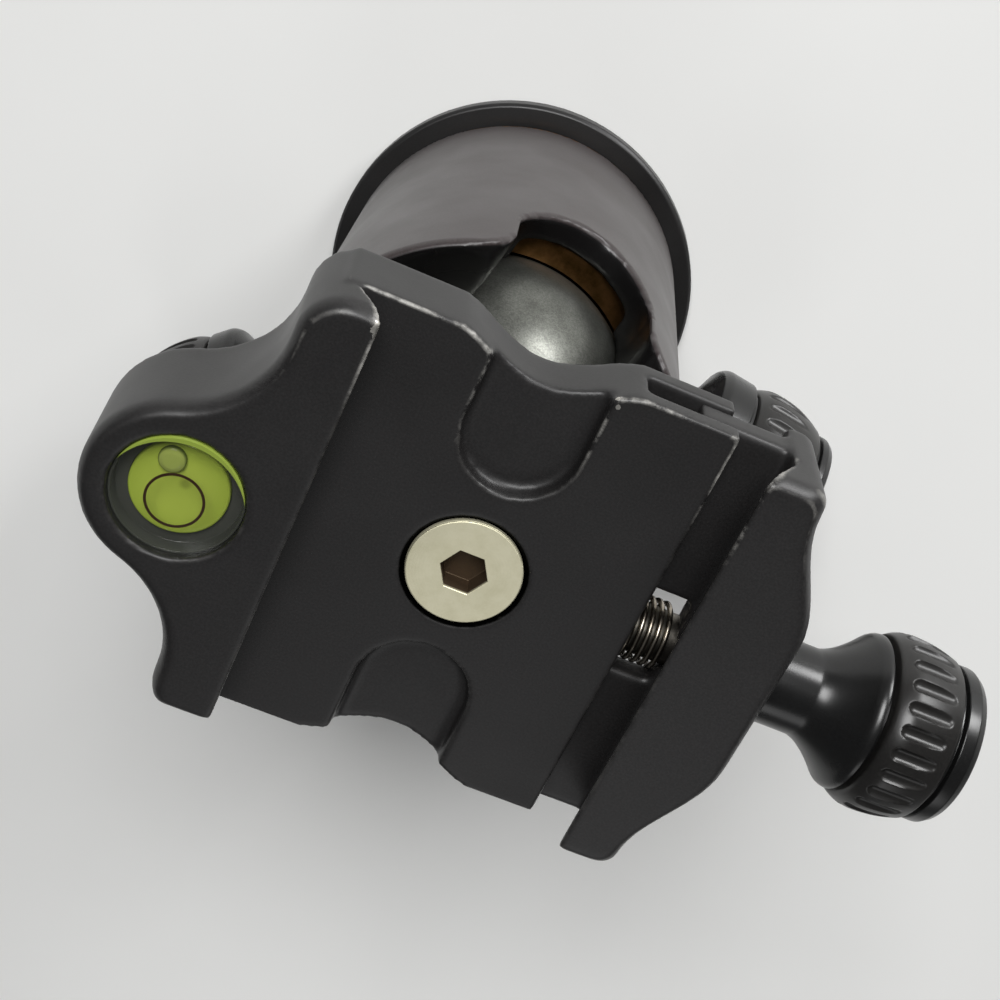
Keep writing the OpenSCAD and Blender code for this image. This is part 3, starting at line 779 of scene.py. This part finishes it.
@dataclass
class Ball:
    """The ball with its neck and flange, turned in one piece.

    top is the flange's face, over the ball's centre; the cone starts its own length under it, and
    the spigot, a radius and a height, stands on it.
    """

    stance: Stance
    ball_radius: float = 15.5
    neck_radius: float = 5.0
    flange_radius: float = 10.0
    top: float = 26.55
    cone: float = 5.5
    rim: float = 0.4
    spigot: tuple[float, float] = (4.5, 2.0)
    grain: float = 0.13

    def outline(self) -> Array:
        """Sphere, neck, cone, which widens with the 2.1th power of its height, and flange.

        Returns:
            (radius, height) rows.
        """
        meet = math.asin(self.neck_radius / self.ball_radius)
        angle = np.linspace(math.pi, meet * 1.12, 110)
        ball = self.ball_radius * np.stack([np.sin(angle), np.cos(angle)], axis=1)
        share = np.linspace(0, 1, 16)
        cone = np.stack([self.neck_radius + (self.flange_radius - self.neck_radius) * share ** 2.1,
                         self.top - self.cone + (self.cone - self.rim) * share], axis=1)
        radius, height = self.spigot
        end = rounded([(self.flange_radius, self.top - self.rim, 0),
                       (self.flange_radius, self.top, 0.25), (radius, self.top, 0),
                       (radius, self.top + height, 0.2), (0, self.top + height, 0)])
        return np.vstack([ball, [[self.neck_radius, self.ball_radius - 0.1]], cone, end])

    def build(self) -> None:
        """Turns the ball and gives it its grey hard-anodised finish."""
        place = self.stance.stem()
        grey = Metal("hard anodised aluminium, pearl grey", "#696a65", "#5a5b56", 0.33,
                     place=place, grain=self.grain, relief=0.008, metallic=0.8, glint=0.22)
        dress(turned("ball_and_stem", self.outline(), place, 192), grey.build(), "ball",
              Finish.BALL, "ball_stem")


@dataclass
class Knob:
    """A turned knob: neck and washer face, fluted grip and domed end.

    All lengths run outwards from its frame's origin. The flare widens the neck to the ring, which
    swells over it by a crest, and a groove parts ring and grip. A stud sticks out of the neck, or
    a bore takes one. Ratios are shares of the grip's radius; a flute's straight part stops at
    flute_end from the grip's ends, and ease rounds its edge.
    """

    name: str
    body: str
    place: Place
    neck_start: float
    neck_radius: float
    flare: float
    ring_start: float
    ring_radius: float
    grip_start: float
    grip_length: float
    grip_radius: float
    end_ratio: float
    cap_length: float
    stud_start: float = 0.0
    stud_radius: float = 0.0
    bore: float = 0.0
    hub_ratio: float = 0.62
    swell: float = 0.6
    crest: float = 1.1
    overlap: float = 0.15
    groove: float = 0.75
    flutes: int = 24
    flute_depth: float = 0.5
    flute_end: float = 1.6
    rod_ratio: float = 0.085
    ease: float = 0.07

    def core_outline(self) -> Array:
        """Neck, flare, crest, ring and hub.

        The flare's radius grows with the 1.6th power of its length. The crest falls short of the
        ring's radius by the swell times the 2.2th power of what is left of it.

        Returns:
            (radius, height) rows.
        """
        r, start, grip = self.ring_radius, self.ring_start, self.grip_start
        hub = self.grip_radius * self.hub_ratio
        foot, end = start - self.overlap, grip + self.grip_length
        share = np.linspace(0, 1, 24)
        flare = np.stack([
            self.neck_radius + (r - self.swell - self.neck_radius) * share ** 1.6,
            foot - (self.flare - self.overlap) * (1 - share)], axis=1)
        crest_length = min(self.crest, grip - start - 0.6)
        rise = np.linspace(0, 1, 14)[1:]
        crest = np.stack([r - self.swell * (1 - rise) ** 2.2,
                          foot + (crest_length + self.overlap) * rise], axis=1)
        ring = rounded([
            (r, start + crest_length, 0), (r, grip - 0.62, 0.22),
            (r - self.groove, grip - 0.5, 0.1), (r - self.groove, grip - 0.06, 0),
            (hub, grip - 0.06, 0), (hub, end, 0)])
        neck = rounded([(self.neck_radius - 0.5, self.neck_start, 0),
                        (self.neck_radius, self.neck_start, 0.35),
                        (self.neck_radius, start - self.flare, 0)])
        if self.bore:
            first = [[self.bore, self.neck_start]]
            last = [[self.bore, end], [self.bore, self.neck_start]]
        else:
            first = [[0, self.stud_start], [self.stud_radius, self.stud_start],
                     [self.stud_radius, self.neck_start]]
            last = [[0, end]]
        return np.vstack([first, neck[:-1], flare, crest, ring[1:], last])

    def grip_grid(self) -> Array:
        """The fluted grip.

        Unfluted, it is full at a third of its length and drawn in towards both ends with the
        square of the distance. A flute is a rod with round ends laid into it: at angle p from the
        rod's axis, which stands c out, the rod's near side is
        c cos p - sqrt(f^2 - dz^2 - (c sin p)^2), with f its radius and dz how far past its
        straight part the row lies. The grip follows whichever of the two is lower.

        Returns:
            A grid whose rows run along the grip and whose columns run round it.
        """
        start, end = self.grip_start, self.grip_start + self.grip_length
        share = np.linspace(0, 1, 64)
        along = start + 0.3 + (self.grip_length - 0.6) * share
        late, early = np.maximum(0, share - 0.35) / 0.65, np.maximum(0, 0.3 - share) / 0.3
        full = self.grip_radius * (1 - (1 - self.end_ratio) * late ** 2 - 0.07 * early ** 2)
        columns = self.flutes * 26
        step = ROUND / self.flutes
        angle = np.linspace(0, ROUND, columns, endpoint=False)
        phase = (angle + step / 2) % step - step / 2
        base = full[:, None] + 0 * angle
        rod = self.grip_radius * self.rod_ratio
        out = self.grip_radius + rod - self.flute_depth
        straight_from, straight_to = start + self.flute_end, end - self.flute_end
        past = np.maximum(np.maximum(straight_from - along, along - straight_to), 0)
        inside = rod ** 2 - past[:, None] ** 2 - (out * np.sin(phase)) ** 2
        cut = out * np.cos(phase) - np.sqrt(np.maximum(inside, 0))
        depth = np.where(inside > 0, base - cut, -0.3)
        radius = base - 0.5 * (depth + np.sqrt(depth ** 2 + self.ease ** 2))
        low, high = base[:1], base[-1:]
        hub = np.full((1, columns), self.grip_radius * self.hub_ratio + 0.05)
        radii = [hub, low - 0.45, low - 0.2, radius, high - 0.2, high - 0.45, hub, hub]
        heights = [[start], [start], [start + 0.1], along, [end - 0.1], [end], [end], [start]]
        return carried(np.vstack(radii), np.concatenate(heights)[:, None], columns)

    def cap_outline(self) -> Array:
        """The end cap: a groove, a rim and a flat crowned face.

        Returns:
            (radius, height) rows.
        """
        z = self.grip_start + self.grip_length + 0.02
        r = self.grip_radius * self.end_ratio - 0.35
        top = z + self.cap_length
        return rounded([(0, z, 0), (r - 0.5, z, 0), (r - 0.5, z + 0.35, 0.05),
                        (r, z + 0.55, 0.15), (r, top - 1.3, 0.3), (r - 0.45, top - 0.55, 0.4),
                        (r - 1.5, top - 0.1, 0.5), (0, top, 0)], 6)

    def build(self) -> None:
        """Makes the knob's three pieces, in place of its body's nodes."""
        core = Anodised(f"black anodised aluminium, turned, {self.name}", "#0d0d0d", 0.27,
                        ring_pitch=0.35, place=self.place, relief=0.003).build()
        grip = Anodised(f"black anodised aluminium, fluted, {self.name}", "#171615", 0.33,
                        place=self.place).build()
        node = self.body.removesuffix("knob")
        dress(turned(f"{self.name}_neck", self.core_outline(), self.place, 160), core, self.body,
              Finish.KNOB, node + "core")
        fluted = from_grid(f"{self.name}_fluted_grip", self.place.point(self.grip_grid()), 40)
        dress(fluted, grip, self.body, Finish.GRIP, node + "grip")
        dress(turned(f"{self.name}_end", self.cap_outline(), self.place, 160), core, self.body,
              Finish.KNOB, node + "cap")


@dataclass
class Clamp:
    """The clamp's base, moving jaw, screw, stud and spring."""

    stance: Stance
    grid: float = 0.34
    passes: int = 8
    relief: float = 0.011
    # Above this height the clamp's sharp edges get a painted highlight, partly edge wear.
    highlight_and_wear_above: float = -0.9
    stud_side: float = -1.5
    stud_drop: float = 4.9
    spring_radius: float = 3.05
    spring_wire: float = 0.55
    spring_curls: int = 15
    spring_from: float = 7.9
    spring_to: float = 20.85
    jaw_travel: float = 5.0
    base_chips: tuple[Chip, ...] = (
        Chip((-15.95, 21.6, 4.6), 0.55), Chip((-16.0, 20.9, 4.6), 0.6),
        Chip((-15.95, 20.2, 4.5), 0.5), Chip((-15.9, 19.5, 4.4), 0.42),
        Chip((-15.9, 18.7, 4.4), 0.36), Chip((-15.9, 16.9, 4.4), 0.24),
        Chip((-6.2, 21.8, -0.2), 0.3), Chip((5.1, 21.5, -0.2), 0.36),
        Chip((5.6, 20.6, -0.1), 0.24), Chip((-15.9, -21.4, 4.5), 0.3))
    jaw_chips: tuple[Chip, ...] = (
        Chip((23.6, 22.0, 4.4), 0.34), Chip((24.6, 21.9, 4.3), 0.26),
        Chip((21.4, -21.9, 4.3), 0.3))

    def stud_line(self) -> Place:
        """The frame of the stud: its z is the stud's axis, away from the stem."""
        return self.stance.clamp().inner((0, self.stud_side, -self.stud_drop), turn(1, 90))

    def spring_grid(self) -> Array:
        """The spring as a tube round a helix.

        The helix is (R cos t, R sin t, z), with z growing evenly from one end to the other. The
        tube's ring at t is the wire's radius times cos a outwards plus sin a along the direction
        square to that and to the helix.

        Returns:
            A grid whose rows run along the wire and whose columns run round it.
        """
        turns = np.linspace(0, 1, self.spring_curls * 36 + 1)
        angle = turns * self.spring_curls * ROUND
        wire, radius = self.spring_wire / 2, self.spring_radius
        low, high = self.spring_from + wire, self.spring_to - wire
        out = np.stack([np.cos(angle), np.sin(angle), 0 * angle], axis=1)
        centre = radius * out + np.outer(low + (high - low) * turns, [0, 0, 1])
        pitch = (high - low) / (self.spring_curls * ROUND)
        along = np.stack([-radius * np.sin(angle), radius * np.cos(angle), pitch + 0 * angle], axis=1)
        along /= np.linalg.norm(along, axis=1, keepdims=True)
        across = np.cross(along, out)
        ring = np.linspace(0, ROUND, 12, endpoint=False)[:, None]
        grid = centre[:, None] + wire * (np.cos(ring) * out[:, None] + np.sin(ring) * across[:, None])
        first, last = (np.repeat(centre[i][None, None], 12, axis=1) for i in (0, -1))
        return np.concatenate([first, grid, last])

    def build(self) -> None:
        """Rounds the clamp's edges, winds the spring and dresses the screw and stud."""
        place, line = self.stance.clamp(), self.stud_line()
        worn = partial(Anodised, roughness=0.42, place=place, relief=self.relief, highlight_and_wear_height=self.highlight_and_wear_above)
        # The zone paints a black ring of shade round the screw's head, in the countersink's shadow.
        black = worn("black anodised aluminium, clamp", "#191818", chips=self.base_chips,
                     zone=Zone(5.95, 0.15, "#040404", 0.8, bare=True))
        jaw = worn("black anodised aluminium, moving jaw", "#1b1a1a", chips=self.jaw_chips)
        screw = Metal("turned stainless steel, clamp screw", "#faf5d6", "#ebe6c6", 0.5,
                      place=place, ring_pitch=0.3, relief=0.006, metallic=0.75, socket=(2.4, 0.4))
        stud = Metal("turned stainless steel, jaw stud", "#8f8b82", "#5d5952", 0.33, place=line)
        wire = Metal("oiled spring steel", "#a8a093", "#4e463b", 0.24, place=line, grain=0.8, relief=0.002)
        for name, node, body, finish in (("clamp_body", "clamp_base", "clamp", black),
                                         ("sliding_jaw", "moving_jaw", "jaw", jaw)):
            dress(softened(name, node, place, self.grid, self.passes), finish.build(), body,
                  Finish.BODY, node)
        dress(bevelled("clamp_flat_screw", "clamp_screw", 0.18), screw.build(), "clamp",
              Finish.STAINLESS, "clamp_screw")
        repaint(stud.build(), "jaw_stud")
        spring = from_grid("clamp_spring", line.point(self.spring_grid()), 60)
        dress(spring, wire.build(), "clamp", Finish.SPRING, "jaw_spring")
        anchor = line.point([0, 0, self.spring_from]) * MM
        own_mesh(spring)


@dataclass
class Level:
    """The round bubble level let into the clamp's lobe.

    Its heights, from ledge to bubble_ends, are depths under its rim, and floor is the cup's
    thickness. The bright edge that the dyed wall sends through the lens is painted on the lens,
    outside a circle of glow_radius about glow_side.
    """

    stance: Stance
    out: float = 26.05
    along: float = -0.7
    rim_height: float = 4.8
    radius: float = 5.95
    depth: float = 4.58
    ledge: float = 0.9
    step: float = 2.3
    floor: float = 0.8
    liquid_radius: float = 4.45
    liquid_top: float = 1.7
    ring_radius: float = 2.4
    ring_width: float = 0.25
    glow_side: tuple[float, float] = (0.0, -0.8)
    glow_radius: float = 6.24
    bubble: tuple[float, float] = (-1.4, 2.75)
    bubble_radius: float = 1.25
    bubble_ends: tuple[float, float] = (1.68, 0.95)

    def lens_height(self, radius: float | Array) -> float | Array:
        """Height of the lens's crown at a radius: a quarter sine from its rim to the middle."""
        return 0.35 * np.sin(0.5 * math.pi * (1 - radius / (self.radius - 0.15)))

    def build(self) -> None:
        """Makes the cup, the liquid, the bubble, the lens and the printed ring."""
        place = self.stance.clamp().inner((-self.out, self.along, self.rim_height))
        r, lr, br, rr = self.radius, self.liquid_radius, self.bubble_radius, self.ring_radius
        bottom, inside, floor = -self.depth, lr + 0.03, self.floor - self.depth
        cup = rounded([(0, bottom, 0), (r, bottom, 0.2), (r, -self.ledge, 0.05),
                       (r - 0.2, -self.ledge, 0.05), (r - 0.34, -self.step, 0.1),
                       (inside, -self.step, 0.1), (inside, floor, 0), (0, floor, 0)])
        clear = Moulded("clear acrylic seen against black, vial cup", "#5a5a54", "#494b45", place,
                        r, roughness=0.12)
        liquid = rounded([(0, floor + 0.02, 0), (lr, floor + 0.02, 0.1),
                          (lr, -self.liquid_top - 0.05, 0.25), (0, -self.liquid_top, 0)])
        dye = Moulded("dyed spirit, yellow green", "#d0e45c", "#bfd54e", place, lr,
                      roughness=0.08, spot=(0.35, 0.75, -self.liquid_top), ior=1.36)
        air = place.inner((*self.bubble, 0.0))
        low, high = (-end for end in self.bubble_ends)
        blob = rounded([(0, low, 0), (br, low, 0.1), (br, -1.2, 0.3), (br * 0.6, -1.0, 0.4), (0, high, 0)])
        # The bubble's dark outline is painted shade of refraction at its edge.
        skin = Moulded("air bubble", "#c0cf68", "#5e6d2c", air, br, fade=0.84, roughness=0.06)
        crown = np.linspace(r - 0.15, 0, 20)
        lens = np.vstack([[[0, -0.88], [r, -0.88], [r, -0.15]],
                          np.stack([crown, self.lens_height(crown)], axis=1)])
        lit = place.inner((*self.glow_side, 0.0))
        glass = Moulded("clear acrylic lens", "#23261f", "#8ea13d", lit, self.glow_radius,
                        fade=0.99, roughness=0.09, cover=0.16, rim_cover=0.85)
        lift, edge = self.lens_height(rr), rr + self.ring_width
        ring = rounded([(rr, lift - 0.03, 0), (edge, lift - 0.03, 0), (edge, lift + 0.015, 0),
                        (rr, lift + 0.02, 0), (rr, lift - 0.03, 0)])
        ink = Moulded("printed ink, level ring", "#3b2110", "#2e1c0c", place, rr, roughness=0.3)
        for name, outline, at, columns, finish, slot, *nodes in (
                ("vial_wall", cup, place, 128, clear, Finish.CUP, "level_cup"),
                ("vial_liquid", liquid, place, 128, dye, Finish.LIQUID, "level_liquid"),
                ("vial_bubble", blob, air, 64, skin, Finish.BUBBLE, "level_bubble"),
                ("vial_lens", lens, place, 128, glass, Finish.LENS, "level_lens"),
                ("vial_printed_ring", ring, place, 128, ink, Finish.CUP)):
            dress(turned(name, outline, at, columns), finish.build(), "clamp", slot, *nodes)


@dataclass(frozen=True)
class Lamp:
    """A square soft light: its place and side in metres and its power in watts."""

    at: Point
    side: float
    power: float


@dataclass
class Studio:
    """The camera where the photograph was taken from, the floor and the soft lights.

    right, up and back are the camera's axes; what the lamps aim at is in metres.
    """

    camera_at: Point = (24.665, -61.754, 224.213)
    right: Point = (-0.818241, -0.570157, -0.0735065)
    up: Point = (0.549331, -0.737772, -0.392338)
    back: Point = (0.169463, -0.361406, 0.916880)
    lens: float = 63.9
    floor_size: float = 4000.0
    world_level: float = 0.12
    aim: Point = (0.0, 0.0, 0.06)
    lamps: tuple[Lamp, ...] = (
        Lamp((0.42, -0.89, 1.32), 0.75, 24.0), Lamp((-0.28, -1.22, 0.40), 0.42, 10.0),
        Lamp((-0.61, 0.87, 0.80), 0.5, 1.1))

    def stand(self, name: str, data: ID, at: Array, axes: list) -> Object:
        """Stands a camera or lamp at a place in metres, with its three axes; it looks along -z."""
        obj = into_scene(name, data)
        obj.matrix_world = Matrix.Translation(at) @ Matrix(np.column_stack(axes).tolist()).to_4x4()
        return obj

    def camera(self) -> None:
        """Sets the camera where the photograph was taken from."""
        data = bpy.data.cameras.new("camera")
        data.lens, data.clip_start, data.clip_end = self.lens, 0.01, 20.0
        at, axes = np.array(self.camera_at) * MM, [self.right, self.up, self.back]
        bpy.context.scene.camera = self.stand("camera", data, at, axes)

    def floor(self) -> None:
        """A pale painted board under the base."""
        half = self.floor_size / 2 * MM
        mesh = bpy.data.meshes.new("floor")
        mesh.from_pydata([(-half, -half, 0), (half, -half, 0), (half, half, 0), (-half, half, 0)],
                         [], [(0, 1, 2, 3)])
        paint = Recipe("matt white paint on board", ROW)
        brushed = paint.add("TexNoise", {"Scale": 0.02, "Detail": 4.0}, Vector=paint.where)
        tint = paint.add("MixRGB", {1: linear("#e9e9e7"), 2: linear("#e1e1df")}, Fac=brushed)
        mesh.materials.append(paint.finish({"Roughness": 0.7}, Base_Color=tint))
        into_scene("floor", mesh)

    def light(self) -> None:
        """A plain grey world and soft lamps aimed at the head's middle."""
        world = bpy.data.worlds.new("studio")
        world.use_nodes = True
        tree = world.node_tree
        tree.nodes.clear()
        grey = add_node(tree, "Background", {"Color": linear("#f2f3f5"), "Strength": self.world_level})
        add_node(tree, "OutputWorld", Surface=grey)
        bpy.context.scene.world = world
        for number, lamp in enumerate(self.lamps):
            data = bpy.data.lights.new(f"soft_light_{number}", "AREA")
            data.size, data.energy = lamp.side, lamp.power
            back = np.subtract(lamp.at, self.aim)
            back /= np.linalg.norm(back)
            side = np.cross([0, 0, 1.0], back)
            side /= np.linalg.norm(side)
            self.stand(data.name, data, lamp.at, [side, np.cross(back, side), back])

    def build(self) -> None:
        """Sets the camera, the floor, the lights and the plain view."""
        self.camera()
        self.floor()
        self.light()
        bpy.context.scene.view_settings.view_transform = "Standard"


def knobs(clamp: Clamp, body: float, jaw: float = 29.45) -> list[Knob]:
    """The ball lock's, the pan lock's and the clamp's knob.

    Args:
        clamp: the clamp, for its stud's axis.
        body: the housing's radius, where the first two start.
        jaw: how far out the moving jaw's face is, where the third one starts.

    Returns:
        The three knobs.
    """
    return [
        Knob("lock_knob", "lock_knob", radial(184.2, 22.4), neck_start=body + 0.9,
             neck_radius=6.0, flare=2.0, ring_start=body + 4.9, ring_radius=21.4 * 0.474,
             grip_start=body + 9.6, grip_length=9.1, grip_radius=10.7, end_ratio=0.87,
             cap_length=2.6, stud_start=14.65, stud_radius=3.0),
        Knob("pan_knob", "pan_knob", radial(54.0, 12.6), neck_start=body + 0.7,
             neck_radius=4.6, flare=2.0, ring_start=body + 12.4, ring_radius=17.7 * 0.44,
             grip_start=body + 16.3, grip_length=8.6, grip_radius=17.7 * 0.465, end_ratio=0.88,
             cap_length=2.8, stud_start=13.4, stud_radius=2.5),
        Knob("clamp_knob", "jaw_knob", clamp.stud_line(), neck_start=jaw + 0.3,
             neck_radius=4.36, flare=4.6, ring_start=jaw + 10.4, ring_radius=17.7 * 0.443,
             grip_start=jaw + 12, grip_length=6.9, grip_radius=8.85, end_ratio=0.93,
             cap_length=3.1, bore=2.58)]


def main() -> None:
    """Builds the head piece by piece, in the order it is put together."""
    logging.basicConfig(level=logging.INFO, format="%(message)s")
    stance, housing = Stance(), Housing()
    clamp = Clamp(stance)
    for assembly in (Studio(), Base(), housing, Ball(stance), clamp, Level(stance),
                     *knobs(clamp, housing.radius)):
        assembly.build()


if __name__ == "__main__":
    main()
